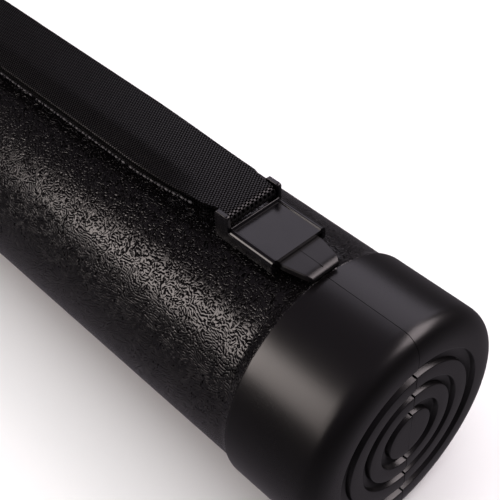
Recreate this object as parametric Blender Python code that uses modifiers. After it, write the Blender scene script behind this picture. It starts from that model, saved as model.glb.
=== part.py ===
"""Telescoping drawing tube with a detachable shoulder strap, closed and lying on its side.

Metres, +Z up. The tube's axis runs along X, half way between its two ends. Every object has its
origin on that axis, so a height is a distance above the axis and s is a distance from an end plane.
"""

import math

import bmesh
import bpy
from mathutils import Matrix, Vector

MM = 0.001
GAP = 0.3 * MM  # between neighbouring pieces
OVERLAP = 0.5 * MM  # how far shapes that are joined run into each other
SIDES = 32  # facets round every tube, one of them facing straight down
STEP = 2 * math.pi / SIDES

# The two outer halves
HALF_LENGTH = 311 * MM
BODY_RADIUS = 50 * MM
BOOT_RADIUS = 52 * MM  # the smooth end boots and the collars at the mouths
BODY_BORE = 48 * MM
COLLAR_BORE = 50.1 * MM  # the pocket that the guide ring turns in
BOOT_FILLET = 9 * MM
BOOT_END = 46 * MM  # s where the boot steps down to the body
BODY_START = 52 * MM
FLARE_START = 270 * MM
COLLAR_START = 287 * MM
POCKET_START = 289.5 * MM
POCKET_END = 306 * MM
POCKET_TAPER = 4 * MM
MOUTH = HALF_LENGTH - GAP
END_WALL = 4 * MM
END_CORNER = 7 * MM  # inside, where the bore meets the end wall
GROOVE_DEPTH = 2.5 * MM
GROOVE_DRAFT = 0.3 * MM
GROOVES = ((11.2 * MM, 15.9 * MM), (22.1 * MM, 26.0 * MM), (32.6 * MM, 37.7 * MM))
AXIS_Z = BOOT_RADIUS * math.cos(STEP / 2)

# Lock teeth inside each mouth
TOOTH_INNER = 45.3 * MM
TOOTH_HALF_WIDTH = 7 * MM
TOOTH_START = 306.5 * MM
TOOTH_END = 310.2 * MM

# Inner tube
INNER_HALF_LENGTH = 295 * MM
INNER_BORE = 42.5 * MM
INNER_RADIUS = 44.5 * MM
RIB_RADIUS = 47 * MM
CHANNEL_RADIUS = 44 * MM
CHANNEL_FACETS = 5
CUTTER_MARGIN = 4 * MM
LOCK_PITCH = 25 * MM
LOCK_GROOVES_EACH_WAY = 11
GROOVE_FLOOR_HALF = 5.7 * MM
GROOVE_TOP_HALF = 6.5 * MM

# Guide rings
RING_START = 290 * MM
RING_END = 305.4 * MM
RING_BORE = 47.7 * MM
RING_RADIUS = 49.6 * MM
KEY_INNER = 45.3 * MM
KEY_OUTER = 48.4 * MM
KEY_HALF_WIDTH = 19 * MM
KEY_INSET = 0.5 * MM
KEY_ROOT = 2 * MM

# Strap lugs on the halves
LUG_TIP = 44.7 * MM
LUG_SHOULDER = 57 * MM
LUG_END = 82 * MM
LUG_TIP_HALF_WIDTH = 7.5 * MM
LUG_HALF_WIDTH = 10.3 * MM
LUG_STEM_HALF_WIDTH = 4.5 * MM
LUG_UNDER = 54.2 * MM
LUG_TOP = 56 * MM
LUG_ROOT = 48.2 * MM
LUG_TIP_CHAMFER = 1.5 * MM
LUG_STOP_END = 85 * MM
LUG_STOP_HALF_WIDTH = 11 * MM

# Strap clips
CLIP_START = 58.8 * MM
CLIP_PLATE_END = 81.5 * MM
CLIP_END = 89 * MM
CLIP_HALF_WIDTH = 14.1 * MM
CLIP_INNER_HALF_WIDTH = 12.2 * MM
CLIP_SLOT_HALF_WIDTH = 6 * MM
CLIP_BOTTOM = 52.4 * MM
CLIP_FLANGE_TOP = 53.9 * MM
CLIP_PLATE_UNDER = 56.3 * MM
CLIP_TOP = 58.5 * MM
CLIP_CHAMFER = 1 * MM
POST_TOP = 65 * MM
POST_START = 82 * MM
POST_CHAMFER = 1 * MM
CHEEK_START = 78.5 * MM
CHEEK_BOTTOM = 52.7 * MM
CHEEK_INSET = 0.1 * MM
BAR_S = 86 * MM
BAR_HEIGHT = 60.9 * MM
BAR_RADIUS = 1.5 * MM
BAR_FACETS = 12

# Webbing, as heights of its middle
WEB_THICKNESS = 1.4 * MM
WEB_WIDTH = 30 * MM
FOLD_WIDTH = 24 * MM
TOP_RUN = 63.4 * MM
RETURN_RUN = 61.7 * MM
TOP_LEAD_END = 92 * MM
RETURN_LEAD_END = 98 * MM
END_TAIL_END = 125 * MM

# Tri-glide
GLIDE_X = 150 * MM
GLIDE_HALF_LENGTH = 11 * MM
GLIDE_BAR = 4 * MM
GLIDE_HALF_WIDTH = 18.3 * MM
GLIDE_INNER_HALF_WIDTH = 15.3 * MM
GLIDE_LOW = 59.2 * MM
GLIDE_HIGH = 65.9 * MM
GLIDE_BAR_THICKNESS = 1.5 * MM
GLIDE_CHAMFER = (1 * MM, 2 * MM)  # off each rail's lower corners, along and up
GLIDE_LOOP_START = 110 * MM
GLIDE_TAIL_END = 118 * MM
GLIDE_TAIL = 60 * MM

# Bartacks, the dense stitched bars
BARTACK_LENGTH = 2.5 * MM
BARTACK_THICKNESS = 0.6 * MM
BARTACK_MARGIN = 1 * MM  # from the webbing's edges
END_BARTACKS = (108 * MM, 119 * MM)  # s
GLIDE_BARTACKS = (122 * MM, 131 * MM)  # x

BASE, UPPER = -1, 1


def clear_scene():
    for obj in list(bpy.data.objects):
        bpy.data.objects.remove(obj, do_unlink=True)


def new_collection(name):
    made = bpy.data.collections.new(name)
    bpy.context.scene.collection.children.link(made)
    return made


def new_material(name, colour, roughness, metallic=0.0):
    made = bpy.data.materials.new(name)
    made.use_nodes = True
    shader = made.node_tree.nodes["Principled BSDF"]
    shader.inputs["Base Color"].default_value = (*colour, 1)
    shader.inputs["Roughness"].default_value = roughness
    shader.inputs["Metallic"].default_value = metallic
    return made


def baked(obj):
    """Replaces an object by a plain mesh of what it evaluates to, with outward normals."""
    bpy.context.view_layer.update()
    graph = bpy.context.evaluated_depsgraph_get()
    mesh = bpy.data.meshes.new_from_object(obj.evaluated_get(graph))
    points = bmesh.new()
    points.from_mesh(mesh)
    bmesh.ops.remove_doubles(points, verts=points.verts, dist=1e-6)
    bmesh.ops.recalc_face_normals(points, faces=points.faces)
    points.to_mesh(mesh)
    points.free()
    name, matrix = obj.name, obj.matrix_world.copy()
    home = obj.users_collection[0]
    bpy.data.objects.remove(obj, do_unlink=True)
    made = bpy.data.objects.new(name, mesh)
    made.matrix_world = matrix
    home.objects.link(made)
    return made


def on_axis(obj, home):
    obj.location = (0, 0, AXIS_Z)
    home.objects.link(obj)
    return obj


def revolve(name, home, profile, facets=SIDES, first=STEP / 2):
    """A profile of (radius, x) points turned about the tube's axis, closed if it leaves the axis."""
    mesh = bpy.data.meshes.new(name)
    points = [(x, -r * math.sin(first), r * math.cos(first)) for r, x in profile]
    edges = [(i, i + 1) for i in range(len(points) - 1)]
    if profile[0][0] > 0:
        edges.append((len(points) - 1, 0))
    mesh.from_pydata(points, edges, [])
    obj = on_axis(bpy.data.objects.new(name, mesh), home)
    screw = obj.modifiers.new("Screw", "SCREW")
    screw.axis = "X"
    screw.angle = facets * STEP
    screw.steps = facets
    screw.render_steps = facets
    screw.use_merge_vertices = True
    screw.merge_threshold = 1e-6
    return obj


def prism(name, home, outline, plane, low, high):
    """A flat outline drawn in a plane ("XY", "YZ" or "XZ") and extruded square to it."""
    curve = bpy.data.curves.new(name, "CURVE")
    curve.dimensions = "2D"
    curve.fill_mode = "BOTH"
    curve.extrude = (high - low) / 2
    line = curve.splines.new("POLY")
    line.points.add(len(outline) - 1)
    for point, (u, v) in zip(line.points, outline):
        point.co = (u, v, 0, 1)
    line.use_cyclic_u = True
    obj = baked(on_axis(bpy.data.objects.new(name, curve), home))
    middle = (low + high) / 2
    place = {
        "XY": lambda p: (p.x, p.y, p.z + middle),
        "YZ": lambda p: (p.z + middle, p.x, p.y),
        "XZ": lambda p: (p.x, middle - p.z, p.y),
    }[plane]
    for vertex in obj.data.vertices:
        vertex.co = place(vertex.co.copy())
    return obj


def block(name, home, x, y, z):
    """A box between two x, two y and two heights."""
    spans = [sorted(x), sorted(y), sorted(z)]
    size = [high - low for low, high in spans]
    centre = Vector([(low + high) / 2 for low, high in spans])
    shape = bmesh.new()
    bmesh.ops.create_cube(shape, size=1, matrix=Matrix.LocRotScale(centre, None, size))
    mesh = bpy.data.meshes.new(name)
    shape.to_mesh(mesh)
    shape.free()
    return on_axis(bpy.data.objects.new(name, mesh), home)


def cross_bar(name, home, x, height, radius, reach):
    """A round bar along Y, reaching as far to either side."""
    shape = bmesh.new()
    bmesh.ops.create_cone(
        shape,
        cap_ends=True,
        segments=BAR_FACETS,
        radius1=radius,
        radius2=radius,
        depth=2 * reach,
        matrix=Matrix.Translation((x, 0, height)) @ Matrix.Rotation(math.pi / 2, 4, "X"),
    )
    mesh = bpy.data.meshes.new(name)
    shape.to_mesh(mesh)
    shape.free()
    return on_axis(bpy.data.objects.new(name, mesh), home)


def combine(obj, other, operation):
    step = obj.modifiers.new(operation.title(), "BOOLEAN")
    step.operation = operation
    step.solver = "EXACT"
    step.object = other
    other.hide_render = True
    other.display_type = "WIRE"


def finish(obj, material):
    obj.data.materials.clear()
    obj.data.materials.append(material)
    obj.data.shade_smooth()
    obj.data.set_sharp_from_angle(angle=math.radians(35))


def x_at(side, s):
    """The x of a distance s from one half's end plane."""
    return side * (HALF_LENGTH - s)


def half_profile():
    """(radius, s) of a half's wall: the bore from the axis to the mouth, then the outside back."""
    bore = [(0, END_WALL)]
    for i in range(4):
        turn = math.pi / 2 * i / 3
        radius = BODY_BORE - END_CORNER * (1 - math.sin(turn))
        bore.append((radius, END_WALL + END_CORNER * (1 - math.cos(turn))))
    bore += [
        (BODY_BORE, POCKET_START - POCKET_TAPER),
        (COLLAR_BORE, POCKET_START),
        (COLLAR_BORE, POCKET_END),
        (BODY_BORE, POCKET_END),
        (BODY_BORE, MOUTH),
    ]
    outside = [
        (BOOT_RADIUS, MOUTH),
        (BOOT_RADIUS, COLLAR_START),
        (BODY_RADIUS, FLARE_START),
        (BODY_RADIUS, BODY_START),
        (BOOT_RADIUS, BOOT_END),
    ]
    for i in range(5):
        turn = math.pi / 2 * i / 4
        radius = BOOT_RADIUS - BOOT_FILLET * (1 - math.cos(turn))
        outside.append((radius, BOOT_FILLET * (1 - math.sin(turn))))
    for inner, outer in reversed(GROOVES):
        outside.append((outer, 0))
        outside.append((outer - GROOVE_DRAFT, GROOVE_DEPTH))
        outside.append((inner + GROOVE_DRAFT, GROOVE_DEPTH))
        outside.append((inner, 0))
    outside.append((0, 0))
    return bore + outside


def lug_outline(side):
    """(x, y) round a lug's head: a chamfered tip that widens to the shoulder."""
    half = [
        (x_at(side, LUG_TIP), LUG_TIP_HALF_WIDTH - LUG_TIP_CHAMFER),
        (x_at(side, LUG_TIP + LUG_TIP_CHAMFER), LUG_TIP_HALF_WIDTH),
        (x_at(side, LUG_SHOULDER), LUG_HALF_WIDTH),
        (x_at(side, LUG_END), LUG_HALF_WIDTH),
    ]
    return half + [(x, -y) for x, y in reversed(half)]


def outer_half(name, side, parts, helpers, material):
    profile = [(r, x_at(side, s)) for r, s in half_profile()]
    obj = baked(revolve(name, parts, profile))
    lug = prism(name + "_lug_head", helpers, lug_outline(side), "XY", LUG_UNDER, LUG_TOP)
    stem = block(
        name + "_lug_stem",
        helpers,
        (x_at(side, LUG_TIP + LUG_TIP_CHAMFER), x_at(side, LUG_END)),
        (-LUG_STEM_HALF_WIDTH, LUG_STEM_HALF_WIDTH),
        (LUG_ROOT, LUG_UNDER + OVERLAP),
    )
    stop = block(
        name + "_lug_stop",
        helpers,
        (x_at(side, LUG_END - OVERLAP), x_at(side, LUG_STOP_END)),
        (-LUG_STOP_HALF_WIDTH, LUG_STOP_HALF_WIDTH),
        (LUG_ROOT, LUG_TOP),
    )
    for other in (lug, stem, stop):
        combine(obj, other, "UNION")
    for way in (-1, 1):
        tooth = block(
            name + ("_tooth_left" if way > 0 else "_tooth_right"),
            helpers,
            (x_at(side, TOOTH_START), x_at(side, TOOTH_END)),
            (way * TOOTH_INNER, way * (BODY_BORE + 2 * OVERLAP)),
            (-TOOTH_HALF_WIDTH, TOOTH_HALF_WIDTH),
        )
        combine(obj, tooth, "UNION")
    finish(obj, material)


def inner_tube(parts, helpers, material):
    outside = [(INNER_RADIUS, INNER_HALF_LENGTH)]
    for k in range(LOCK_GROOVES_EACH_WAY, -LOCK_GROOVES_EACH_WAY - 1, -1):
        middle = k * LOCK_PITCH
        if k == LOCK_GROOVES_EACH_WAY:
            outside.append((INNER_RADIUS, middle + LOCK_PITCH - GROOVE_FLOOR_HALF))
            outside.append((RIB_RADIUS, middle + LOCK_PITCH - GROOVE_TOP_HALF))
        outside.append((RIB_RADIUS, middle + GROOVE_TOP_HALF))
        outside.append((INNER_RADIUS, middle + GROOVE_FLOOR_HALF))
        outside.append((INNER_RADIUS, middle - GROOVE_FLOOR_HALF))
        outside.append((RIB_RADIUS, middle - GROOVE_TOP_HALF))
        if k == -LOCK_GROOVES_EACH_WAY:
            outside.append((RIB_RADIUS, middle - LOCK_PITCH + GROOVE_TOP_HALF))
            outside.append((INNER_RADIUS, middle - LOCK_PITCH + GROOVE_FLOOR_HALF))
    outside.append((INNER_RADIUS, -INNER_HALF_LENGTH))
    bore = [(INNER_BORE, -INNER_HALF_LENGTH), (INNER_BORE, INNER_HALF_LENGTH)]
    obj = baked(revolve("inner_tube", parts, outside + bore))
    past = INNER_HALF_LENGTH + CUTTER_MARGIN
    clear = RIB_RADIUS + CUTTER_MARGIN
    for way, name in ((1, "channel_right"), (-1, "channel_left")):
        profile = [(CHANNEL_RADIUS, -past), (clear, -past), (clear, past), (CHANNEL_RADIUS, past)]
        start = way * math.pi / 2 - CHANNEL_FACETS * STEP / 2
        sector = revolve(name, helpers, profile, CHANNEL_FACETS, start)
        cap_ends(sector)
        combine(obj, bpy.data.objects[name], "DIFFERENCE")
    finish(obj, material)


def cap_ends(obj):
    """Closes the two flat ends that a part turn leaves open."""
    obj = baked(obj)
    shape = bmesh.new()
    shape.from_mesh(obj.data)
    rim = [edge for edge in shape.edges if edge.is_boundary]
    bmesh.ops.holes_fill(shape, edges=rim, sides=0)
    bmesh.ops.recalc_face_normals(shape, faces=shape.faces)
    shape.to_mesh(obj.data)
    shape.free()


def guide_ring(name, side, parts, helpers, material):
    profile = [
        (RING_BORE, x_at(side, RING_START)),
        (RING_RADIUS, x_at(side, RING_START)),
        (RING_RADIUS, x_at(side, RING_END)),
        (RING_BORE, x_at(side, RING_END)),
    ]
    obj = baked(revolve(name, parts, profile))
    rise = math.sqrt(KEY_OUTER**2 - KEY_HALF_WIDTH**2)
    ends = sorted((x_at(side, RING_START + KEY_INSET), x_at(side, RING_END - KEY_INSET)))
    for way in (-1, 1):
        outline = [
            (way * (rise - KEY_ROOT), -KEY_HALF_WIDTH),
            (way * rise, -KEY_HALF_WIDTH),
            (way * KEY_OUTER, -KEY_HALF_WIDTH / 3),
            (way * KEY_OUTER, KEY_HALF_WIDTH / 3),
            (way * rise, KEY_HALF_WIDTH),
            (way * (rise - KEY_ROOT), KEY_HALF_WIDTH),
            (way * KEY_INNER, KEY_HALF_WIDTH / 3),
            (way * KEY_INNER, -KEY_HALF_WIDTH / 3),
        ]
        key_name = name + ("_key_left" if way > 0 else "_key_right")
        key = prism(key_name, helpers, outline, "YZ", *ends)
        combine(obj, key, "UNION")
    finish(obj, material)


def clip(name, side, parts, helpers, material):
    section = [
        (CLIP_SLOT_HALF_WIDTH, CLIP_BOTTOM),
        (CLIP_HALF_WIDTH, CLIP_BOTTOM),
        (CLIP_HALF_WIDTH, CLIP_TOP - CLIP_CHAMFER),
        (CLIP_HALF_WIDTH - CLIP_CHAMFER / 3, CLIP_TOP - CLIP_CHAMFER / 3),
        (CLIP_HALF_WIDTH - CLIP_CHAMFER, CLIP_TOP),
    ]
    inside = [
        (CLIP_INNER_HALF_WIDTH, CLIP_PLATE_UNDER),
        (CLIP_INNER_HALF_WIDTH, CLIP_FLANGE_TOP),
        (CLIP_SLOT_HALF_WIDTH, CLIP_FLANGE_TOP),
    ]
    outline = section + [(-y, z) for y, z in reversed(section)]
    outline += [(-y, z) for y, z in reversed(inside)] + inside
    ends = sorted((x_at(side, CLIP_START), x_at(side, CLIP_PLATE_END)))
    obj = prism(name, parts, outline, "YZ", *ends)
    cheek = [
        (x_at(side, CHEEK_START), CHEEK_BOTTOM),
        (x_at(side, CLIP_END), CHEEK_BOTTOM),
        (x_at(side, CLIP_END), POST_TOP - POST_CHAMFER),
        (x_at(side, CLIP_END - POST_CHAMFER), POST_TOP),
        (x_at(side, POST_START), POST_TOP),
        (x_at(side, POST_START), CLIP_TOP - CLIP_CHAMFER),
        (x_at(side, CHEEK_START), CLIP_TOP - CLIP_CHAMFER),
    ]
    inner_wall = CLIP_INNER_HALF_WIDTH + CHEEK_INSET
    outer_wall = CLIP_HALF_WIDTH - CHEEK_INSET
    for low, high, way in ((-outer_wall, -inner_wall, "right"), (inner_wall, outer_wall, "left")):
        combine(obj, prism(f"{name}_cheek_{way}", helpers, cheek, "XZ", low, high), "UNION")
    reach = inner_wall + OVERLAP
    bar = cross_bar(name + "_bar", helpers, x_at(side, BAR_S), BAR_HEIGHT, BAR_RADIUS, reach)
    combine(obj, bar, "UNION")
    finish(obj, material)


def strip(name, parts, path, width, material):
    """Webbing along a path of (x, height) points, thickened about its middle."""
    mesh = bpy.data.meshes.new(name)
    points = [(x, y, z) for x, z in path for y in (-width / 2, width / 2)]
    faces = [(2 * i, 2 * i + 1, 2 * i + 3, 2 * i + 2) for i in range(len(path) - 1)]
    mesh.from_pydata(points, [], faces)
    obj = on_axis(bpy.data.objects.new(name, mesh), parts)
    solidify = obj.modifiers.new("Solidify", "SOLIDIFY")
    solidify.thickness = WEB_THICKNESS
    solidify.offset = 0
    solidify.use_even_offset = True
    finish(baked(obj), material)


def turn_round(x, height, radius, way, turns=8):
    """A half turn from the top to the bottom of a bar, bulging towards +x (way 1) or -x."""
    angles = [math.pi / 2 - math.pi * i / turns for i in range(turns + 1)]
    return [(x + way * radius * math.cos(a), height + radius * math.sin(a)) for a in angles]


def fold_path(side, tail_end):
    """Round a clip's bar from the top run to the return run, or to a sewn tail."""
    radius = BAR_RADIUS + GAP + WEB_THICKNESS / 2
    path = [(x_at(side, TOP_LEAD_END), TOP_RUN)]
    path += turn_round(x_at(side, BAR_S), BAR_HEIGHT, radius, side)
    path.append((x_at(side, RETURN_LEAD_END), RETURN_RUN))
    if tail_end > RETURN_LEAD_END:
        path.append((x_at(side, tail_end), RETURN_RUN))
    return path


def bartack(name, parts, x, run, width, material):
    """A stitched bar under the webbing whose middle is at the height run."""
    reach = width / 2 - BARTACK_MARGIN
    top = run - WEB_THICKNESS / 2 - GAP
    span = (x - BARTACK_LENGTH / 2, x + BARTACK_LENGTH / 2)
    obj = block(name, parts, span, (-reach, reach), (top - BARTACK_THICKNESS, top))
    finish(obj, material)


def glide_loop():
    """From the return run round the tri-glide's middle bar to the sewn tail under it."""
    bar_middle = GLIDE_LOW + GLIDE_BAR_THICKNESS / 2
    radius = RETURN_RUN - bar_middle
    path = [(GLIDE_LOOP_START, RETURN_RUN)]
    path += turn_round(GLIDE_X + GLIDE_BAR / 2, bar_middle, radius, 1)
    path.append((GLIDE_X - 0.75 * GLIDE_BAR, bar_middle - radius))
    path.append((GLIDE_X - GLIDE_HALF_LENGTH - GLIDE_BAR, GLIDE_TAIL))
    path.append((GLIDE_TAIL_END, GLIDE_TAIL))
    return path


def webbing(parts, material, thread):
    top_end = x_at(UPPER, TOP_LEAD_END) - GAP
    return_start = x_at(BASE, RETURN_LEAD_END) + GAP
    return_end = GLIDE_LOOP_START - GAP
    half_gap = GAP / 2
    for name, start, end, run in (
        ("webbing_base_top", -top_end, -half_gap, TOP_RUN),
        ("webbing_upper_top", half_gap, top_end, TOP_RUN),
        ("webbing_base_return", return_start, -half_gap, RETURN_RUN),
        ("webbing_upper_return", half_gap, return_end, RETURN_RUN),
    ):
        strip(name, parts, [(start, run), (end, run)], WEB_WIDTH, material)
    strip("webbing_base_fold", parts, fold_path(BASE, 0), FOLD_WIDTH, material)
    strip("webbing_upper_end", parts, fold_path(UPPER, END_TAIL_END), FOLD_WIDTH, material)
    strip("webbing_glide_loop", parts, glide_loop(), WEB_WIDTH, material)
    for number, s in enumerate(END_BARTACKS, 1):
        place = x_at(UPPER, s)
        bartack(f"bartack_end_{number}", parts, place, RETURN_RUN, FOLD_WIDTH, thread)
    for number, place in enumerate(GLIDE_BARTACKS, 1):
        bartack(f"bartack_glide_{number}", parts, place, GLIDE_TAIL, WEB_WIDTH, thread)


def tri_glide(parts, helpers, material):
    ends = (GLIDE_X - GLIDE_HALF_LENGTH, GLIDE_X + GLIDE_HALF_LENGTH)
    rail = [
        (ends[0] + GLIDE_CHAMFER[0], GLIDE_LOW),
        (ends[1] - GLIDE_CHAMFER[0], GLIDE_LOW),
        (ends[1], GLIDE_LOW + GLIDE_CHAMFER[1]),
        (ends[1], GLIDE_HIGH),
        (ends[0], GLIDE_HIGH),
        (ends[0], GLIDE_LOW + GLIDE_CHAMFER[1]),
    ]
    obj = prism("tri_glide", parts, rail, "XZ", GLIDE_INNER_HALF_WIDTH, GLIDE_HALF_WIDTH)
    other = prism("glide_rail", helpers, rail, "XZ", -GLIDE_HALF_WIDTH, -GLIDE_INNER_HALF_WIDTH)
    reach = GLIDE_INNER_HALF_WIDTH + OVERLAP
    across = (-reach, reach)
    top = (GLIDE_HIGH - GLIDE_BAR_THICKNESS, GLIDE_HIGH)
    low = (GLIDE_LOW, GLIDE_LOW + GLIDE_BAR_THICKNESS)
    middle = (GLIDE_X - GLIDE_BAR / 2, GLIDE_X + GLIDE_BAR / 2)
    bars = [
        block("glide_bar_low_x", helpers, (ends[0], ends[0] + GLIDE_BAR), across, top),
        block("glide_bar_high_x", helpers, (ends[1] - GLIDE_BAR, ends[1]), across, top),
        block("glide_bar_middle", helpers, middle, across, low),
    ]
    for bar in bars:
        combine(obj, bar, "UNION")
    combine(obj, other, "UNION")
    finish(obj, material)


def main():
    clear_scene()
    parts = new_collection("portfolio_case")
    helpers = new_collection("cutters")
    shell = new_material("moulded_plastic", (0.012, 0.010, 0.010), 0.42)
    sleeve = new_material("sleeve_plastic", (0.010, 0.009, 0.009), 0.5)
    ring = new_material("ring_plastic", (0.02, 0.02, 0.02), 0.35)
    hardware = new_material("hardware_plastic", (0.011, 0.011, 0.013), 0.35)
    web = new_material("webbing_fabric", (0.015, 0.014, 0.015), 0.75)
    thread = new_material("thread", (0.01, 0.01, 0.01), 0.7)
    outer_half("base_tube", BASE, parts, helpers, shell)
    outer_half("upper_tube", UPPER, parts, helpers, shell)
    inner_tube(parts, helpers, sleeve)
    guide_ring("base_guide_ring", BASE, parts, helpers, ring)
    guide_ring("upper_guide_ring", UPPER, parts, helpers, ring)
    clip("base_clip", BASE, parts, helpers, hardware)
    clip("upper_clip", UPPER, parts, helpers, hardware)
    tri_glide(parts, helpers, hardware)
    webbing(parts, web, thread)


main()
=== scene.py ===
import math

import bmesh
import bpy
from mathutils import Matrix, Quaternion, Vector


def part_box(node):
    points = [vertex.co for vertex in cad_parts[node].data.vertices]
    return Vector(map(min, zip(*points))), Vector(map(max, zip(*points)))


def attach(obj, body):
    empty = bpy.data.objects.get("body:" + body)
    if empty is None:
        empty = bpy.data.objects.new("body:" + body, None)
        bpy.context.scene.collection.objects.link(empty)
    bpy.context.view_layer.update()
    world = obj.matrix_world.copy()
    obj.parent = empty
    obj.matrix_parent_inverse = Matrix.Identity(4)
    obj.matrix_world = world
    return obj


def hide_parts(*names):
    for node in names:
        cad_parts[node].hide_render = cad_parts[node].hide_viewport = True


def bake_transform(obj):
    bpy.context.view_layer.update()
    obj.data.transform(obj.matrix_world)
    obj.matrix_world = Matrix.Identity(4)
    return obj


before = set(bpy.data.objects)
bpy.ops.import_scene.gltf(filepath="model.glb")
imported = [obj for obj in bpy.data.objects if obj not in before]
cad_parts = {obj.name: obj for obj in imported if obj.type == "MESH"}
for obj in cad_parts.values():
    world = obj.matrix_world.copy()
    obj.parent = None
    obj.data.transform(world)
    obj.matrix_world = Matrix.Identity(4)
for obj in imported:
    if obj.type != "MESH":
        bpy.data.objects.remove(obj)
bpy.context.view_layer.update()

# Pieces are drawn in mm with the tube's axis as z = 0, and MM turns that to metres. In names and
# comments s is a distance from a half's end plane, r a radius and h a height above the axis.
MM = 0.001
TUBE_LOW, TUBE_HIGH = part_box("base_tube")
HALF = -TUBE_LOW[0] / MM
AXIS_Z = TUBE_LOW[2] + (TUBE_HIGH[1] - TUBE_LOW[1]) / 2
BOOT_R = 52
BODY_R = 50
BORE_R = 48
BASE, UPPER = -1, 1


def x_at(side, s):
    return side * (HALF - s)


def span(side, start, end):
    """The x of two distances from a half's end plane, lower first."""
    return sorted((x_at(side, start), x_at(side, end)))


def smooth(t):
    t = min(max(t, 0.0), 1.0)
    return t * t * (3 - 2 * t)


def arc(centre, radius, start, end, count):
    """Points on an arc; its angles are in degrees from the first axis."""
    made = []
    for i in range(count):
        turn = math.radians(start + (end - start) * i / (count - 1))
        made.append((centre[0] + radius * math.cos(turn), centre[1] + radius * math.sin(turn)))
    return made


# ---------------------------------------------------------------- materials

class Nodes:
    """A short way to wire a material's nodes."""

    def __init__(self, name):
        self.material = bpy.data.materials.new(name)
        self.material.use_nodes = True
        self.tree = self.material.node_tree
        self.shader = self.tree.nodes["Principled BSDF"]
        self.place = self.add("ShaderNodeTexCoord").outputs["Object"]

    def add(self, kind, **settings):
        node = self.tree.nodes.new(kind)
        for key, value in settings.items():
            setattr(node, key, value)
        return node

    def put(self, value, socket):
        if isinstance(value, bpy.types.NodeSocket):
            self.tree.links.new(value, socket)
        else:
            socket.default_value = value

    def shade(self, name, value):
        """Sets or links one of the shader's own sockets."""
        self.put(value, self.shader.inputs[name])

    def math(self, operation, a, b=0.0, c=0.0):
        node = self.add("ShaderNodeMath", operation=operation)
        for value, socket in zip((a, b, c), node.inputs):
            self.put(value, socket)
        return node.outputs[0]

    def noise(self, scale, detail=2.0, roughness=0.5):
        node = self.add("ShaderNodeTexNoise")
        self.put(self.place, node.inputs["Vector"])
        node.inputs["Scale"].default_value = scale
        node.inputs["Detail"].default_value = detail
        node.inputs["Roughness"].default_value = roughness
        return node.outputs["Fac"]

    def ramp(self, value, low, high, start=0.0, end=1.0):
        """start at low, end at high and a smooth step between them."""
        node = self.add("ShaderNodeMapRange", interpolation_type="SMOOTHSTEP")
        self.put(value, node.inputs["Value"])
        node.inputs["From Min"].default_value = low
        node.inputs["From Max"].default_value = high
        node.inputs["To Min"].default_value = start
        node.inputs["To Max"].default_value = end
        return node.outputs["Result"]

    def colours(self, factor, first, second):
        node = self.add("ShaderNodeMix", data_type="RGBA")
        self.put(factor, node.inputs["Factor"])
        node.inputs["A"].default_value = (*first, 1)
        node.inputs["B"].default_value = (*second, 1)
        self.shade("Base Color", node.outputs["Result"])

    def bump(self, height, distance, strength=1.0, normal=None):
        """A bump whose full height is distance, in metres, over the normal given."""
        node = self.add("ShaderNodeBump")
        self.put(height, node.inputs["Height"])
        node.inputs["Distance"].default_value = distance
        node.inputs["Strength"].default_value = strength
        if normal is not None:
            self.put(normal, node.inputs["Normal"])
        return node.outputs["Normal"]

    def xyz(self):
        node = self.add("ShaderNodeSeparateXYZ")
        self.put(self.place, node.inputs[0])
        return node.outputs


BLACK = (0.0022, 0.0018, 0.0020)  # the moulded plastic's own colour
SCUFFED = (0.0060, 0.0052, 0.0056)  # and its colour where it is scuffed
GRAIN_PITCH = 1.7 * MM
GRAIN_DEPTH = 0.31 * MM
GRAIN_START = (45.1, 45.7)  # the s over which the grain fades in at the boot
GRAIN_END = (278, 281)  # and out on the collar
KERNEL = 0.45  # the width of the noise's kernel in pitches: short, so that the grooves wind


def leather_grain(n):
    """Leather grain: how high its gently domed tops stand, and how deep in a winding groove a point is."""
    field = n.add("ShaderNodeTexGabor", gabor_type="3D")
    n.put(n.place, field.inputs["Vector"])
    field.inputs["Scale"].default_value = KERNEL / GRAIN_PITCH
    field.inputs["Frequency"].default_value = 1 / KERNEL
    field.inputs["Anisotropy"].default_value = 0.0
    wave = n.math("SINE", n.math("MULTIPLY", field.outputs["Phase"], 2 * math.pi))
    gaps = n.ramp(n.noise(420, 1), 0.58, 0.68, 0.0, 0.4)
    crest = n.math("ADD", n.math("ABSOLUTE", wave), gaps)
    dome = n.ramp(crest, 0.0, 1.0)
    top = n.ramp(crest, 0.08, 0.60)
    height = n.math("MULTIPLY_ADD", dome, 0.5, n.math("MULTIPLY", top, 0.5))
    return height, n.ramp(crest, 0.10, 0.55, 1.0, 0.0)


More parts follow.
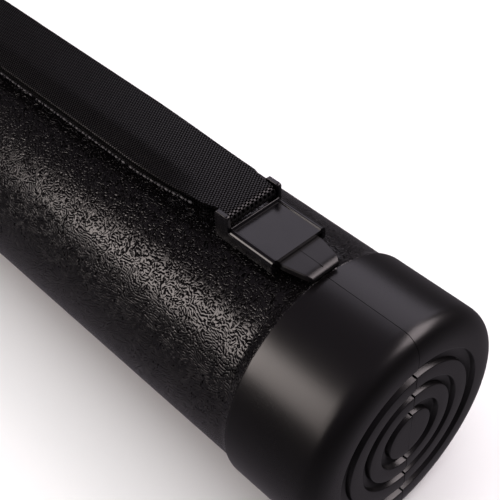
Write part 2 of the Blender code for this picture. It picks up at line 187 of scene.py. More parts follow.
def shell_material():
    """Moulded polyethylene: grained between the boot and the collar, satin smooth outside that."""
    n = Nodes("moulded_shell")
    x = n.xyz()[0]
    s = n.math("SUBTRACT", HALF * MM, n.math("ABSOLUTE", x))
    fade_in = n.ramp(s, GRAIN_START[0] * MM, GRAIN_START[1] * MM)
    fade_out = n.ramp(s, GRAIN_END[0] * MM, GRAIN_END[1] * MM, 1.0, 0.0)
    grained = n.math("MULTIPLY", fade_in, fade_out)
    tops, grooves = leather_grain(n)
    fine = n.noise(1500, 2, 0.6)
    height = n.math("MULTIPLY", n.math("MULTIPLY_ADD", fine, 0.06, tops), grained)
    in_groove = n.math("MULTIPLY", grooves, grained)
    flow = n.noise(9, 4, 0.55)
    grit = n.noise(2600, 2, 0.7)
    rough = n.math("MULTIPLY_ADD", flow, 0.10, 0.20)
    rough = n.math("SUBTRACT", rough, n.math("MULTIPLY", grained, 0.07))
    rough = n.math("MULTIPLY_ADD", in_groove, 0.30, rough)
    n.shade("Roughness", n.math("MULTIPLY_ADD", grit, 0.06, rough))
    # A black metal mirrors nothing, so this shades the grooves the way their depth does.
    n.shade("Metallic", n.math("MULTIPLY", in_groove, 0.95))
    n.colours(n.math("MULTIPLY", n.ramp(n.noise(70, 5, 0.65), 0.58, 0.78), 0.35), BLACK, SCUFFED)
    soft = n.bump(flow, 0.6 * MM, 0.25)
    soft = n.bump(grit, 0.03 * MM, 0.35, soft)
    n.shade("Normal", n.bump(height, GRAIN_DEPTH, 1.0, soft))
    return n.material


def smooth_plastic(name, colour, roughness, variation=0.1, scale=60, shine=0.5):
    """Plastic or yarn with faint flow marks, fine grit and paler worn patches."""
    n = Nodes(name)
    flow = n.noise(scale, 4, 0.6)
    n.shade("Roughness", n.math("MULTIPLY_ADD", flow, variation, roughness - variation / 2))
    worn = tuple(c * 1.7 for c in colour)
    n.colours(n.ramp(n.noise(scale * 3, 5, 0.7), 0.5, 0.8), colour, worn)
    grit = n.noise(2200, 2, 0.6)
    soft = n.bump(flow, 0.4 * MM, 0.2)
    n.shade("Normal", n.bump(grit, 0.02 * MM, 0.4, soft))
    n.shade("Specular IOR Level", shine)
    return n.material


WARP_PITCH = 1.1 * MM
FLOAT_LENGTH = 1.3 * MM
WEAVE_DEPTH = 0.10 * MM


def webbing_material(name, shine):
    """Woven webbing: flat warp yarns along x, each diving under a weft between its neighbours' dives; the
    dives and the gaps between yarns get painted shade.
    """
    n = Nodes(name)
    x, y, _ = n.xyz()
    row = n.math("DIVIDE", y, WARP_PITCH)
    which = n.math("FLOOR", row)
    across = n.math("ABSOLUTE", n.math("SUBTRACT", n.math("FRACT", row), 0.5))
    yarn = n.ramp(across, 0.5, 0.30)
    half_step = n.math("MULTIPLY", which, math.pi)
    along = n.math("MULTIPLY_ADD", x, 2 * math.pi / FLOAT_LENGTH, half_step)
    over = n.ramp(n.math("MULTIPLY_ADD", n.math("SINE", along), 0.5, 0.5), 0.24, 0.60)
    crown = n.math("MULTIPLY_ADD", yarn, 0.6, 0.4)
    weave = n.math("MULTIPLY", crown, n.math("MULTIPLY_ADD", over, 0.9, 0.1))
    # Painted shade: a black metal mirrors nothing, so the gaps between yarns go dark the way shade in them
    # would.
    n.shade("Metallic", n.ramp(weave, 0.70, 0.30, 0.0, 0.97))
    fuzz = n.noise(3200, 3, 0.7)
    fibres = n.add("ShaderNodeTexWave", wave_type="BANDS", bands_direction="Y")
    n.put(n.place, fibres.inputs["Vector"])
    fibres.inputs["Scale"].default_value = 1300
    fibres.inputs["Distortion"].default_value = 3
    pattern = n.math("MULTIPLY_ADD", fuzz, 0.06, weave)
    pattern = n.math("MULTIPLY_ADD", fibres.outputs["Fac"], 0.03, pattern)
    n.shade("Normal", n.bump(pattern, WEAVE_DEPTH))
    # Painted shade: the base colour goes darker in the dives and gaps between yarns.
    n.colours(n.ramp(weave, 0.15, 0.95), (0.0002, 0.0002, 0.0002), (0.0016, 0.0014, 0.0015))
    rough = n.math("MULTIPLY_ADD", weave, -0.65, 0.92)
    n.shade("Roughness", n.math("MULTIPLY_ADD", fuzz, 0.12, rough))
    n.shade("Specular IOR Level", shine)
    return n.material


def floor_material():
    """A pale floor that glows a little far from the object, so that it stays white to the horizon."""
    n = Nodes("pale_floor")
    n.colours(n.noise(3, 2), (0.86, 0.86, 0.86), (0.88, 0.88, 0.88))
    length = n.add("ShaderNodeVectorMath", operation="LENGTH")
    n.put(n.place, length.inputs[0])
    n.shade("Emission Color", (1, 1, 1, 1))
    n.shade("Emission Strength", n.ramp(length.outputs["Value"], 0.9, 2.6))
    n.shade("Roughness", 0.7)
    n.shade("Specular IOR Level", 0.1)
    return n.material


def backdrop_material():
    n = Nodes("white_backdrop")
    n.colours(n.noise(0.5, 1), (0, 0, 0), (0.01, 0.01, 0.01))
    n.shade("Emission Color", (1, 1, 1, 1))
    n.shade("Emission Strength", 1.0)
    return n.material


SHELL = shell_material()
SMOOTH = smooth_plastic("moulded_smooth", BLACK, 0.29)
SLEEVE = smooth_plastic("sleeve_plastic", (0.0045, 0.0040, 0.0040), 0.42)
RING = smooth_plastic("ring_plastic", (0.008, 0.008, 0.008), 0.38)
HARDWARE = smooth_plastic("hardware_plastic", (0.0024, 0.0021, 0.0026), 0.17, 0.08, 90, 0.48)
WEB = webbing_material("woven_webbing", 0.5)
WEB_SHADED = webbing_material("woven_webbing_shaded", 0.12)  # a dimmer copy of the same webbing: painted shade on the side edges and the lower run
# Painted highlight: the selvedge floats get a pale colour so that they glint along the lower run's left
# edge.
SELVEDGE_GLINT = smooth_plastic("selvedge_glint_yarn", (0.045, 0.042, 0.044), 0.26, 0.1, 300)
THREAD = smooth_plastic("bartack_thread", (0.006, 0.0055, 0.006), 0.5, 0.1, 900)


# ---------------------------------------------------------------- mesh makers

def linked(name, data):
    obj = bpy.data.objects.new(name, data)
    bpy.context.scene.collection.objects.link(obj)
    return obj


def dress(obj, material, angle=40, flats=False):
    """Smooth shading over a material; with flats, big faces keep their own normals beside bevels."""
    obj.data.materials.clear()
    obj.data.materials.append(material)
    obj.data.shade_smooth()
    obj.data.set_sharp_from_angle(angle=math.radians(angle))
    if flats:
        weighted = obj.modifiers.new("Weighted", "WEIGHTED_NORMAL")
        weighted.keep_sharp = True
        weighted.weight = 100


def new_object(name, points, faces, material, angle=40):
    """A piece from points in mm about the tube's axis."""
    mesh = bpy.data.meshes.new(name)
    mesh.from_pydata([(x * MM, y * MM, z * MM) for x, y, z in points], [], faces)
    shape = bmesh.new()
    shape.from_mesh(mesh)
    bmesh.ops.remove_doubles(shape, verts=shape.verts, dist=1e-7)
    bmesh.ops.recalc_face_normals(shape, faces=shape.faces)
    shape.to_mesh(mesh)
    shape.free()
    obj = linked(name, mesh)
    dress(obj, material, angle)
    return obj


def skin(loops, count, first=0, closed=False):
    """Quads between neighbouring loops of count points; closed joins the last loop to the first."""
    faces = []
    for i in range(loops if closed else loops - 1):
        here = first + i * count
        there = first + (i + 1) % loops * count
        for j in range(count):
            k = (j + 1) % count
            faces.append((here + j, here + k, there + k, there + j))
    return faces


def rectangle(low_u, high_u, low_v, high_v):
    return [(low_u, low_v), (high_u, low_v), (high_u, high_v), (low_u, high_v)]


def capped(loops, count, first=0):
    """A skin over the loops, with a face over each end."""
    last = first + (loops - 1) * count
    ends = [tuple(first + j for j in range(count)), tuple(last + j for j in reversed(range(count)))]
    return skin(loops, count, first) + ends


def loft(name, loops, material, angle=40):
    """A closed skin over loops that all have the same number of points."""
    points = [p for loop in loops for p in loop]
    return new_object(name, points, capped(len(loops), len(loops[0])), material, angle)


def rounded_rectangle(half, bottom, top, low_radius, high_radius, count=5):
    """Points round a rectangle in (y, z) that reaches half to each side."""
    points = []
    for way_y, way_z, start in ((1, -1, -90), (1, 1, 0), (-1, 1, 90), (-1, -1, 180)):
        radius = high_radius if way_z > 0 else low_radius
        centre = (way_y * (half - radius), top - radius if way_z > 0 else bottom + radius)
        points += arc(centre, radius, start, start + 90, count)
    return points


def solid(name, outline, plane, low, high, bevel=0.0, segments=3):
    """An outline in mm extruded square to its plane, with every sharp edge rounded when a bevel is given.
    """
    place = {
        "XY": lambda u, v, w: (u * MM, v * MM, w * MM),
        "YZ": lambda u, v, w: (w * MM, u * MM, v * MM),
        "XZ": lambda u, v, w: (u * MM, w * MM, v * MM),
    }[plane]
    shape = bmesh.new()
    face = shape.faces.new([shape.verts.new(place(u, v, low)) for u, v in outline])
    made = bmesh.ops.extrude_face_region(shape, geom=[face])
    top = [v for v in made["geom"] if isinstance(v, bmesh.types.BMVert)]
    bmesh.ops.translate(shape, verts=top, vec=place(0, 0, high - low))
    bmesh.ops.recalc_face_normals(shape, faces=shape.faces)
    if bevel:
        sharp = [e for e in shape.edges if e.calc_face_angle(0) > math.radians(20)]
        bmesh.ops.bevel(
            shape, geom=sharp, offset=bevel * MM, segments=segments, profile=0.5,
            affect="EDGES", clamp_overlap=True,
        )
    mesh = bpy.data.meshes.new(name)
    shape.to_mesh(mesh)
    shape.free()
    return linked(name, mesh)


def united(obj, others, material, angle):
    """obj joined with the others as one closed skin."""
    for other in others:
        step = obj.modifiers.new("Union", "BOOLEAN")
        step.operation = "UNION"
        step.solver = "EXACT"
        step.object = other
    obj.data = evaluated_mesh(obj)
    obj.modifiers.clear()
    for other in others:
        bpy.data.objects.remove(other, do_unlink=True)
    shape = bmesh.new()
    shape.from_mesh(obj.data)
    bmesh.ops.remove_doubles(shape, verts=shape.verts, dist=2e-6)
    bmesh.ops.dissolve_degenerate(shape, edges=shape.edges, dist=1e-6)
    shape.to_mesh(obj.data)
    shape.free()
    dress(obj, material, angle, True)
    return obj


def evaluated_mesh(obj):
    bpy.context.view_layer.update()
    graph = bpy.context.evaluated_depsgraph_get()
    return bpy.data.meshes.new_from_object(obj.evaluated_get(graph))


def lifted(obj):
    """Moves a piece that was drawn about the tube's axis up to where the axis is."""
    obj.data.transform(Matrix.Translation((0, 0, AXIS_Z)))
    return obj


# ---------------------------------------------------------------- the two halves

GROOVES = ((11.2, 15.9), (22.1, 26.0), (32.6, 37.7))  # the inner and outer r of the end's rings
GROOVE_DEPTH = 2.6
RIM_R, RIM_DEPTH = 40.5, 9.5  # where the flat end turns into the rim, and how long the rim is
ROUND = 128
MISMATCH = 0.8  # how much higher the right half of the end rings sits
RING_R = (9, 40)  # the r from which and to which it does
PARTING = 0.26  # the parting line's depth
RING_PARTING = 0.5  # and its depth on the end rings
PARTING_STEP, END_PARTING_STEP = 0.13, 0.2  # between the five points across it, on the side and the end


def rim(flat_r, side_r, depth, fullness, count):
    """The rounded rim from the end plane to the side; a fullness of 2 is an ellipse."""
    made = []
    for i in range(count):
        turn = math.pi / 2 * i / (count - 1)
        across = math.sin(turn) ** (2 / fullness)
        along = math.cos(turn) ** (2 / fullness)
        made.append((flat_r + (side_r - flat_r) * across, depth * (1 - along)))
    return made


def outer_profile():
    """(r, s) from the middle of the end disc round the outside to the mouth."""
    deep = GROOVE_DEPTH
    path = [(0, 0), (4, 0), (8, 0)]
    for inner, outer in GROOVES:
        path += [(inner - 0.45, 0), (inner - 0.15, 0.04), (inner, 0.2), (inner + 0.1, deep - 0.4)]
        path += [(inner + 0.45, deep - 0.05), ((inner + outer) / 2, deep), (outer - 0.45, deep - 0.05)]
        path += [(outer - 0.1, deep - 0.4), (outer, 0.2), (outer + 0.15, 0.04), (outer + 0.45, 0)]
    path += rim(RIM_R, BOOT_R, RIM_DEPTH, 2.5, 17)
    path += [(BOOT_R, s) for s in (14, 22, 28, 34, 40, 44.2)]
    step = BOOT_R - BODY_R
    path += [(BOOT_R - step * smooth((s - 44.6) / 6.4), s) for s in range(45, 52)]
    path += [(BODY_R, s) for s in range(58, 268, 10)]
    path += [(BODY_R + step * smooth((s - 269) / 18), s) for s in range(270, 289, 2)]
    path += [(BOOT_R, s) for s in (294, 300, 306, 309.9)]
    path += [(BOOT_R - 0.1, 310.3), (BOOT_R - 0.4, 310.6), (BOOT_R - 0.8, 310.7)]
    return path


def inner_profile():
    """(r, s) from the mouth down the bore, past the guide ring's groove, to the end disc's inside."""
    path = [(BORE_R + 0.6, 310.7), (BORE_R + 0.2, 310.6), (BORE_R, 310.2), (BORE_R, 306)]
    path += [(50.1, 305.9), (50.1, 289.5), (BORE_R, 285.5), (BORE_R, 200), (BORE_R, 100)]
    path += [(BORE_R, 12), (46.5, 7), (42, 4), (20, 4), (0, 4)]
    return path


def seamed_ring(side, r, s, outwards, on_end):
    """A ring of a half; the parting line at its top and bottom is sunk against outwards, an (r, s)."""
    step = 2 * math.pi / ROUND
    fine = min((END_PARTING_STEP if r < RING_R[1] else PARTING_STEP) / max(r, 1), step / 6)
    ring = []
    for i in range(ROUND):
        seam = i in (0, ROUND // 2)
        for offset in (-2, -1, 0, 1, 2) if seam else (0,):
            turn = i * step + offset * fine
            sunk = 0.0
            if seam and offset == 0:
                sunk = RING_PARTING if on_end else PARTING
            up = MISMATCH if on_end and math.sin(turn) < -1e-9 else 0.0
            radius = r - sunk * outwards[0]
            x = x_at(side, s - sunk * outwards[1])
            ring.append((x, radius * math.sin(turn), radius * math.cos(turn) + up))
    return ring


def tube_half(name, side, body, node):
    """One half as a closed skin with the mould's parting line along its top and bottom."""
    outside = outer_profile()
    profile = outside + inner_profile()
    rings = []
    for index in range(1, len(profile) - 1):
        r, s = profile[index]
        before, after = profile[index - 1], profile[index + 1]
        tangent = Vector((after[0] - before[0], after[1] - before[1])).normalized()
        is_outside = index < len(outside)
        outwards = (tangent.y, -tangent.x) if is_outside else (0, 0)
        rings.append(seamed_ring(side, r, s, outwards, is_outside and RING_R[0] < r < RING_R[1]))
    count = len(rings[0])
    points = [p for ring in rings for p in ring]
    points += [(x_at(side, profile[0][1]), 0, 0), (x_at(side, profile[-1][1]), 0, 0)]
    faces = skin(len(rings), count)
    last = (len(rings) - 1) * count
    for j in range(count):
        k = (j + 1) % count
        faces.append((len(points) - 2, k, j))
        faces.append((len(points) - 1, last + j, last + k))
    obj = lifted(new_object(name, points, faces, SHELL, 50))
    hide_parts(node)
    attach(obj, body)


LUG_TIP, LUG_TOP, LUG_UNDER = 44.7, 56, 53.4
TIP_HALF, HEAD_HALF, TAPER = 7.4, 10.3, 12.3  # half its width at the tip and past the taper
NOSE_DROP, NOSE_REACH = 2.3, 3.9


def lug_loop(side, ahead):
    """The lug head's outline at a distance ahead of its tip: the nose rounds down towards the tip."""
    inset = max(0.0, 1 - ahead / NOSE_REACH)
    drop = NOSE_DROP * (1 - math.sqrt(1 - inset * inset))
    half = TIP_HALF + (HEAD_HALF - TIP_HALF) * min(ahead / TAPER, 1.0) - drop * 0.5
    loop = rounded_rectangle(half, LUG_UNDER + drop * 0.05, LUG_TOP - drop, 0.35, 0.55)
    return [(x_at(side, LUG_TIP + ahead), y, z) for y, z in loop]


def block(name, side, start, end, half, low, high, bevel=0.0):
    """A flat block on a half, from s = start to end and from low to high above the axis."""
    outline = rectangle(x_at(side, start), x_at(side, end), -half, half)
    return solid(name, outline, "XY", low, high, bevel)


def lug(name, side, body):
    """The T-shaped strap lug: a thin stem, a tapered head with a rounded nose, and an end stop."""
    nose = (0, 0.08, 0.25, 0.5, 0.9, 1.4, 2.1, 2.9, NOSE_REACH)
    loops = [lug_loop(side, ahead) for ahead in nose + (6, 9, TAPER, 18, 25, 33, 37.5)]
    head = loft(name, loops, SHELL)
    stem = block(name + "_stem", side, 47, 82.5, 4.5, 48.6, 54.6, 0.3)
    stop = block(name + "_stop", side, 81.8, 85, 11, 48.2, LUG_TOP, 0.4)
    line = block(name + "_line", side, 46.6, 83.5, 0.14, LUG_TOP - 0.5, LUG_TOP + 0.13)
    obj = lifted(united(head, [stem, stop, line], SMOOTH, 35))
    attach(obj, body)


def teeth(name, side, body):
    """The two catches inside the mouth, at its left and right."""
    for way, which in ((-1, "r"), (1, "l")):
        outline = ((45.3, -5.8), (45.3, 5.8), (46.5, 7), (49, 7), (49, -7), (46.5, -7))
        outline = [(way * y, z) for y, z in outline]
        tooth = lifted(solid(f"{name}_tooth_{which}", outline, "YZ", *span(side, 306.5, 310.2), 0.4))
        dress(tooth, SHELL)
        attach(tooth, body)


# ---------------------------------------------------------------- inner tube and rings

SLEEVE_R, RIB_R, SLEEVE_BORE = 44.25, 46.95, 42.5
SLEEVE_CHAMFER = 0.5
CHANNEL_DIP = 0.25  # how much nearer the axis the plain channels at the sides are
RIB_EDGE = 59.5  # how many degrees from the top or bottom a rib starts to fade
RIB_FADE = 3.5  # and over how many
CUT_PITCH, CUTS_EACH_WAY = 25.0, 11
# The walls of a cut between ribs and of an end rib: (distance from a cut's middle, share of a rib).
CUT_WALL = ((5.2, 0.0), (5.9, 0.07), (6.5, 0.5), (7.2, 0.94), (8.4, 1.0))
END_WALL = ((17.4, 1.0), (18.3, 0.8), (18.9, 0.2), (19.8, 0.0))
SLEEVE_TURNS = [2 * math.pi * i / 96 for i in range(96)]


def rib_stations():
    """(x, share of a rib's height) from the first rib to the last."""
    last = CUT_PITCH * CUTS_EACH_WAY
    stations = [(-last - away, share) for away, share in reversed(END_WALL)]
    for k in range(-CUTS_EACH_WAY, CUTS_EACH_WAY + 1):
        stations += [(CUT_PITCH * k - away, share) for away, share in reversed(CUT_WALL)]
        stations += [(CUT_PITCH * k + away, share) for away, share in CUT_WALL]
    return stations + [(last + away, share) for away, share in END_WALL]


def sleeve_radius(turn, height):
    """The outer radius at a turn from the top; height is the share of a rib at this x."""
    aside = math.degrees(math.asin(min(1.0, abs(math.sin(turn)))))
    share = 1 - smooth((aside - RIB_EDGE) / RIB_FADE)
    return SLEEVE_R - CHANNEL_DIP * (1 - share) + (RIB_R - SLEEVE_R) * height * share


def sleeve_loop(x, height, trim=0.0):
    radii = [(t, sleeve_radius(t, height) - trim) for t in SLEEVE_TURNS]
    return [(x, r * math.sin(t), r * math.cos(t)) for t, r in radii]


def bore_loop(x, r):
    return [(x, r * math.sin(t), r * math.cos(t)) for t in SLEEVE_TURNS]


def inner_tube():
    """The ribbed sleeve: rounded ribs over and under, plain channels left and right."""
    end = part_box("inner_tube")[1][0] / MM
    near = end - SLEEVE_CHAMFER
    loops = [sleeve_loop(-end, 0.0, SLEEVE_CHAMFER)]
    loops += [sleeve_loop(x, height) for x, height in [(-near, 0.0)] + rib_stations() + [(near, 0.0)]]
    loops.append(sleeve_loop(end, 0.0, SLEEVE_CHAMFER))
    loops.append(bore_loop(end, SLEEVE_BORE + SLEEVE_CHAMFER))
    loops += [bore_loop(x, SLEEVE_BORE) for x in (near, 150, 0, -150, -near)]
    loops.append(bore_loop(-end, SLEEVE_BORE + SLEEVE_CHAMFER))
    points = [p for loop in loops for p in loop]
    faces = skin(len(loops), len(SLEEVE_TURNS), closed=True)
    obj = lifted(new_object("sleeve", points, faces, SLEEVE, 50))
    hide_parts("inner_tube")
    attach(obj, "inner")


def guide_rings():
    """The CAD's own rings, in the ring plastic."""
    for ring in ("base_guide_ring", "upper_guide_ring"):
        for place in bpy.data.objects[ring].material_slots:
            place.material = RING


# ---------------------------------------------------------------- clips

BAR_S, BAR_H, BAR_R = 86, 60.9, 1.5
POST_IN, POST_OUT = 12.2, 14.05  # the y of a post's faces


def mirrored(points):
    """The same points on the other side of the middle, in the opposite order."""
    return [(-y, z) for y, z in reversed(points)]


def clip(name, side, body, node):
    """The strap clip: a plate with a raised rim over a slotted channel, two posts and a bar."""
    outer = [(6.1, 52.5), (13.6, 52.5), (14.0, 52.9)]
    outer += arc((11.9, 56.4), 2.1, 0, 90, 9)
    outer += [(11.6, 58.42), (11.4, 58.2), (11.3, 57.9)]
    slot = [(POST_IN, 56.3), (POST_IN, 53.9), (6.1, 53.9)]
    outline = outer + mirrored(outer) + mirrored(slot) + slot
    plate = solid(name, outline, "YZ", *span(side, 58.8, 81.5), 0.16, 2)
    others = []
    for way in (-1, 1):
        cheek = [(78.5, 52.7), (88.6, 52.7), (89, 53.1), (89, 64.2), (88.6, 64.8), (88, 65)]
        cheek += [(83, 65), (82.3, 64.7), (82, 64), (82, 57.4), (78.5, 57.4)]
        cheek = [(x_at(side, s), h) for s, h in cheek]
        walls = sorted((way * POST_IN, way * POST_OUT))
        others.append(solid(f"{name}_cheek_{way}", cheek, "XZ", *walls, 0.3))
    lip = [(81.1, 57.2), (82.3, 57.2), (82.3, 58.9), (82.0, 59.2), (81.8, 59.2)]
    lip += [(81.5, 58.9), (81.1, 58.2)]
    lip = [(x_at(side, s), h) for s, h in lip]
    others.append(solid(name + "_lip", lip, "XZ", -POST_IN - 0.2, POST_IN + 0.2, 0.12, 2))
    bar = arc((x_at(side, BAR_S), BAR_H), BAR_R, 0, 345, 24)
    others.append(solid(name + "_bar", bar, "XZ", -POST_IN - 0.8, POST_IN + 0.8))
    obj = lifted(united(plate, others, HARDWARE, 32))
    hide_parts(node)
    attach(obj, body)


# ---------------------------------------------------------------- webbing

TOP_H, RETURN_H = 63.4, 61.7
RETURN_SHIFT = 0.5  # how far to the left the lower run lies
RETURN_START = -212.0
THICK = 1.4
EDGE_HALF, EDGE_ROUND = 0.2, 0.25  # half the flat of an edge's height, and how far it is chamfered
EDGE_FACING = 0.55  # a face whose normal leans further sideways than this belongs to a side edge
FOLD_R = 2.5
FOLD_HALF, RUN_HALF = 11.9, 15.2  # half the webbing's width in a fold and in the run
PINCH_X = 220.5  # past this the webbing is pinched between a clip's posts
BEND_Y, BEND_SLOPE = 7.2, 0.42  # where the left side starts to hang, and how steeply
HANG_X, HANG_REACH = 216, 45  # inwards of this the left side hangs, fully after the reach


def half_width(inwards, at_once, reach):
    """It opens by at_once just past the posts, and by the rest over the reach."""
    near = FOLD_HALF + at_once * smooth(inwards / 5)
    return near + (RUN_HALF - FOLD_HALF - at_once) * smooth(inwards / reach)


def web_edges(x):
    """The y of the webbing's right and left edge at an x."""
    inwards = PINCH_X - abs(x)
    return -half_width(inwards, 1.7, 70), half_width(inwards, 2, 26)


def droop(x, y):
    """How far the webbing's left side hangs below its middle."""
    amount = smooth((HANG_X - abs(x)) / HANG_REACH)
    past = y - BEND_Y
    bend = 0.5 * (past + math.sqrt(past * past + 1.2)) - 0.02
    return amount * BEND_SLOPE * max(bend, 0.0)


def web_loop(x, h, nx, nz, shift):
    """The webbing's cross-section at a point of its path; (nx, nz) is its upward normal."""
    right, left = web_edges(x)
    ys = [right + EDGE_ROUND + (left - right - 2 * EDGE_ROUND) * i / 36 for i in range(37)]
    ring = [(right, -EDGE_HALF), (right, EDGE_HALF)]
    ring += [(y, THICK / 2) for y in ys]
    ring += [(left, EDGE_HALF), (left, -EDGE_HALF)]
    ring += [(y, -THICK / 2) for y in reversed(ys)]
    made = []
    for y, t in ring:
        d = t - droop(x, y + shift)
        made.append((x + nx * d, y + shift, h + nz * d))
    return made


def web_strip(name, path, shift=0.0, material=WEB):
    """Webbing along a path of (x, h), with a dimmer copy of the webbing on its two side edges as painted
    shade.
    """
    loops = []
    for i, (x, h) in enumerate(path):
        a, b = path[max(i - 1, 0)], path[min(i + 1, len(path) - 1)]
        run = Vector((b[0] - a[0], b[1] - a[1])).normalized()
        loops.append(web_loop(x, h, -run.y, run.x, shift))
    obj = lifted(loft(name, loops, material, 60))
    obj.data.materials.append(WEB_SHADED)
    for face in obj.data.polygons:
        if abs(face.normal.y) > EDGE_FACING:
            face.material_index = 1
    return obj


def line_path(start, end, h, step=3.0):
    count = max(2, int(abs(end - start) / step) + 1)
    return [(start + (end - start) * i / (count - 1), h) for i in range(count)]


def half_turn(x, h, radius):
    """From above a centre round its upper-half side to below it."""
    return arc((x, h), radius, 90, -90, 15)


def blended(obj):
    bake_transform(obj)


ZONES = (
    ("base_clip_body", "base_half", -218.0, -172.0),
    ("base_half", "base_ring", -172.0, -108.0),
    ("base_ring", "inner", -108.0, -20.0),
    ("inner", "upper_ring", -20.0, 20.0),
    ("upper_ring", "upper_half", 20.0, 48.0),
)
TOP_NODES = {1: "webbing_base_top", 5: "webbing_upper_top"}
RETURN_NODES = {1: "webbing_base_return", 5: "webbing_upper_return"}


def lay_runs():
    """Both runs over each zone, baked where they lie; the bodies at the zone's two ends are not used."""
    for number, (first, second, start, end) in enumerate(ZONES, 1):
        top = web_strip(f"strap_top_{number}", line_path(start, end, TOP_H))
        if number in TOP_NODES:
            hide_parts(TOP_NODES[number])
        blended(top)
        low = max(start, RETURN_START)
        path = line_path(low, end, RETURN_H)
        # the lower run in the dimmer copy of the webbing: painted shade under the top run
        under = web_strip(f"strap_return_{number}", path, RETURN_SHIFT, WEB_SHADED)
        if number in RETURN_NODES:
            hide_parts(RETURN_NODES[number])
        blended(under)
        dashes(f"selvedge_{number}", low, end)


def dash_loops(x, length, rings=7, count=8, radius=0.5):
    """One float of the selvedge yarn: a spindle just outside the lower run's left edge."""
    y = web_edges(x)[1] + RETURN_SHIFT + 0.1
    h = RETURN_H - droop(x, y)
    loops = []
    for i in range(rings):
        t = -1 + 2 * i / (rings - 1)
        size = radius * math.sqrt(max(0.02, 1 - t * t))
        turns = [2 * math.pi * j / count for j in range(count)]
        at = x + t * length / 2
        loops.append([(at, y + size * math.cos(turn), h + size * math.sin(turn)) for turn in turns])
    return loops


def dashes(name, start, end):
    """Long and short floats by turns along the lower run's left edge, in a pale yarn that paints a glint
    on them.
    """
    points, faces = [], []
    x = start + 1.5
    long = True
    while x < end - 2:
        length = 2.5 if long else 0.9
        loops = dash_loops(x + length / 2, length)
        faces += capped(len(loops), len(loops[0]), len(points))
        points += [p for loop in loops for p in loop]
        x += length + 0.5
        long = not long
    # the pale yarn is a painted glint
    obj = lifted(new_object(name, points, faces, SELVEDGE_GLINT, 80))
    blended(obj)


def fold_path(side, tail=0):
    """Webbing round a clip's bar: the top lead, the turn, and the return lead or sewn tail."""
    path = [(218.0, TOP_H), (221, TOP_H + 0.05)]
    path += half_turn(x_at(UPPER, BAR_S), BAR_H, FOLD_R)
    path += [(221.5, 58.9), (217.5, 60.4), (214.5, 61.4), (212.0, RETURN_H)]
    if tail:
        path += line_path(209, tail, RETURN_H)
    if side == UPPER:
        return path[::-1]
    return [(-x, h) for x, h in path]


def clip_folds():
    base = web_strip("fold_base", fold_path(BASE))
    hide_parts("webbing_base_fold")
    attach(base, "base_clip_body")
    upper = web_strip("fold_upper", fold_path(UPPER, 186))
    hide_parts("webbing_upper_end")
    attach(upper, "upper_clip_body")


def upper_run():
    """The top run past the last zone to the upper clip, and the lower run to the tri-glide."""
    obj = web_strip("strap_top_6", line_path(48, 172, TOP_H))
    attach(obj, "upper_half")
    obj = web_strip("strap_top_7", line_path(172, 218, TOP_H))
    blended(obj)
    # the lower run in the dimmer copy of the webbing: painted shade under the top run
    obj = web_strip("strap_return_6", line_path(48, 110, RETURN_H), RETURN_SHIFT, WEB_SHADED)
    blended(obj)


GLIDE_RAIL = 2.9  # the width of a rail
GLIDE_BAR = 1.5  # the height of a bar


def glide_piece():
    """The tri-glide: two rails, a bar over the webbing at each end and one under it in the middle."""
    low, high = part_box("tri_glide")
    low_x, high_x, half = low[0] / MM, high[0] / MM, high[1] / MM
    bottom, top = (low[2] - AXIS_Z) / MM, (high[2] - AXIS_Z) / MM
    middle = (low_x + high_x) / 2
    rail = [(low_x + 1, bottom), (high_x - 1, bottom), (high_x, bottom + 2)]
    rail += [(high_x, top), (low_x, top), (low_x, bottom + 2)]
    first = solid("slider", rail, "XZ", half - GLIDE_RAIL, half, 0.7)
    others = [solid("slider_rail", rail, "XZ", -half, GLIDE_RAIL - half, 0.7)]
    reach = half - 1.2
    for outline in (
        rectangle(low_x, low_x + 4, top - GLIDE_BAR, top),
        rectangle(high_x - 4, high_x, top - GLIDE_BAR, top),
        rectangle(middle - 2, middle + 2, bottom, bottom + GLIDE_BAR),
    ):
        others.append(solid("slider_bar", outline, "XZ", -reach, reach, 0.4))
    obj = lifted(united(first, others, HARDWARE, 32))
    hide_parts("tri_glide")
    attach(obj, "glide")
    glide_loop(middle, bottom + GLIDE_BAR / 2)


def glide_loop(middle, bar_h):
    """The lower run's end, turned back under the tri-glide's middle bar and sewn down."""
    path = [(110, RETURN_H)] + line_path(113, middle + 2, RETURN_H)[:-1]
    path += half_turn(middle + 2, bar_h, RETURN_H - bar_h)
    path += [(middle - 3, 2 * bar_h - RETURN_H), (middle - 9, 59.0), (middle - 15, 60.0)]
    path += line_path(middle - 18, 118, 60.0)
    loop = web_strip("slider_loop", path)
    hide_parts("webbing_glide_loop")
    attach(loop, "glide")


def bartack(name, node, body, stitches=44, thread=0.2 * MM):
    """A dense zigzag of thread inside the CAD bar's box, drawn in metres where it lies."""
    low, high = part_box(node)
    middle, wide, z = (low[0] + high[0]) / 2, high[1] - low[1], high[2] - 0.15 * MM
    reach = (high[0] - low[0]) * 0.42
    curve = bpy.data.curves.new(name, "CURVE")
    curve.dimensions = "3D"
    curve.bevel_depth = thread
    curve.bevel_resolution = 2
    curve.use_fill_caps = True
    line = curve.splines.new("POLY")
    line.points.add(stitches - 1)
    for i, point in enumerate(line.points):
        x = middle + reach * (1 if i % 2 else -1)
        point.co = (x, -wide / 2 + wide * i / (stitches - 1), z, 1)
    drawn = linked(name, curve)
    mesh = evaluated_mesh(drawn)
    bpy.data.objects.remove(drawn, do_unlink=True)
    obj = linked(name, mesh)
    dress(obj, THREAD, 60)
    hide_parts(node)
    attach(obj, body)


# ---------------------------------------------------------------- stage

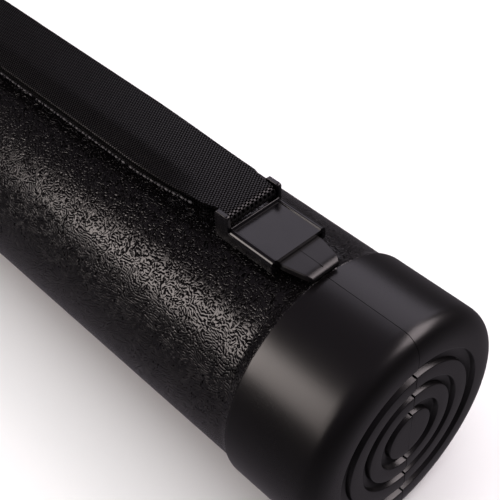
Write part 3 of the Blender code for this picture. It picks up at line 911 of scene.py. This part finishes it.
LIT = Vector((-0.2, 0, 0.05))  # what the soft boxes face
STAGE_REACH = 6.0
BELOW, HORIZON, OVERHEAD = (0.18, 0.16, 0.18, 1), (0.05, 0.045, 0.05, 1), (0.13, 0.11, 0.135, 1)


def towards(azimuth, elevation):
    turn, rise = math.radians(azimuth), math.radians(elevation)
    return Vector((math.cos(rise) * math.cos(turn), math.cos(rise) * math.sin(turn), math.sin(rise)))


def area_light(name, azimuth, elevation, distance, size, radiance, colour=(1, 1, 1), seen=True):
    """A soft box in a direction from the object; unless it is seen, nothing mirrors it."""
    data = bpy.data.lights.new(name, "AREA")
    data.shape = "RECTANGLE"
    data.size, data.size_y = size
    data.energy = radiance * math.pi * size[0] * size[1]
    data.color = colour
    obj = linked(name, data)
    away = towards(azimuth, elevation)
    obj.location = LIT + distance * away
    obj.rotation_euler = (-away).to_track_quat("-Z", "Y").to_euler()
    obj.visible_glossy = seen


def floor():
    mesh = bpy.data.meshes.new("floor")
    corners = rectangle(-STAGE_REACH, STAGE_REACH, -STAGE_REACH, STAGE_REACH)
    mesh.from_pydata([(x, y, 0) for x, y in corners], [], [(0, 1, 2, 3)])
    mesh.materials.append(floor_material())
    obj = linked("floor", mesh)
    obj.location = (0, 0, -0.3 * MM)
    obj.visible_glossy = False


def backdrop():
    """A white dome far behind everything, which only the camera sees."""
    shape = bmesh.new()
    bmesh.ops.create_uvsphere(shape, u_segments=48, v_segments=24, radius=STAGE_REACH)
    mesh = bpy.data.meshes.new("backdrop")
    shape.to_mesh(mesh)
    shape.free()
    mesh.shade_smooth()
    mesh.materials.append(backdrop_material())
    dome = linked("backdrop", mesh)
    dome.visible_glossy = False
    dome.visible_diffuse = False
    dome.visible_shadow = False


def studio_world():
    """Dim surroundings: darkest at the horizon, lighter overhead and towards the floor."""
    world = bpy.data.worlds.new("studio")
    bpy.context.scene.world = world
    world.use_nodes = True
    nodes, links = world.node_tree.nodes, world.node_tree.links
    place = nodes.new("ShaderNodeTexCoord")
    split = nodes.new("ShaderNodeSeparateXYZ")
    links.new(place.outputs["Generated"], split.inputs[0])
    ramp = nodes.new("ShaderNodeValToRGB")
    reach = nodes.new("ShaderNodeMapRange")
    links.new(split.outputs["Z"], reach.inputs["Value"])
    reach.inputs["From Min"].default_value = -1
    links.new(reach.outputs["Result"], ramp.inputs["Fac"])
    stops = ramp.color_ramp.elements
    stops[0].position, stops[0].color = 0.1, BELOW
    stops[1].position, stops[1].color = 1.0, OVERHEAD
    stops.new(0.5).color = HORIZON
    links.new(ramp.outputs["Color"], nodes["Background"].inputs["Color"])


def stage():
    floor()
    backdrop()
    bpy.context.scene.view_settings.view_transform = "Standard"
    studio_world()
    area_light("front_box", -120, 44, 1.8, (1.25, 0.95), 5.2, (1, 0.88, 0.90))
    area_light("left_box", 64, 29, 2.0, (1.6, 1.0), 2.0, (1, 0.88, 0.83))
    area_light("left_core", 54, 26, 1.9, (0.6, 0.85), 5.0, (1, 0.90, 0.86))
    area_light("right_box", -60, 36, 2.0, (1.5, 1.25), 1.12, (0.95, 0.88, 1))
    area_light("floor_fill", -90, 89, 2.4, (3.0, 3.0), 2.4, seen=False)


CAMERA_PLACE = (-450.121, 200.867, 331.263)
CAMERA_AZIMUTH, CAMERA_ELEVATION, CAMERA_ROLL = 138.2169, 44.3118, -2.1377  # degrees
CAMERA_LENS = 77.51


def camera():
    """A camera beyond the base end and above it to the left, looking down along the tube."""
    data = bpy.data.cameras.new("camera")
    data.lens = CAMERA_LENS
    data.sensor_width = 36
    data.clip_start = 0.01
    obj = linked("camera", data)
    x, y, z = CAMERA_PLACE
    level = (-towards(CAMERA_AZIMUTH, CAMERA_ELEVATION)).to_track_quat("-Z", "Y")
    roll = Quaternion((0, 0, 1), math.radians(CAMERA_ROLL))
    obj.location = (x * MM, y * MM, AXIS_Z + z * MM)
    obj.rotation_euler = (level @ roll).to_euler()
    bpy.context.scene.camera = obj


camera()
stage()
tube_half("shell_base", BASE, "base_half", "base_tube")
tube_half("shell_upper", UPPER, "upper_half", "upper_tube")
for lug_name, side, half_body in (("lug_base", BASE, "base_half"), ("lug_upper", UPPER, "upper_half")):
    lug(lug_name, side, half_body)
    teeth(lug_name, side, half_body)
inner_tube()
guide_rings()
clip("clip_base", BASE, "base_clip_body", "base_clip")
clip("clip_upper", UPPER, "upper_clip_body", "upper_clip")
lay_runs()
clip_folds()
upper_run()
glide_piece()
for end in ("1", "2"):
    bartack("stitch_end_" + end, "bartack_end_" + end, "upper_clip_body")
    bartack("stitch_slider_" + end, "bartack_glide_" + end, "glide")
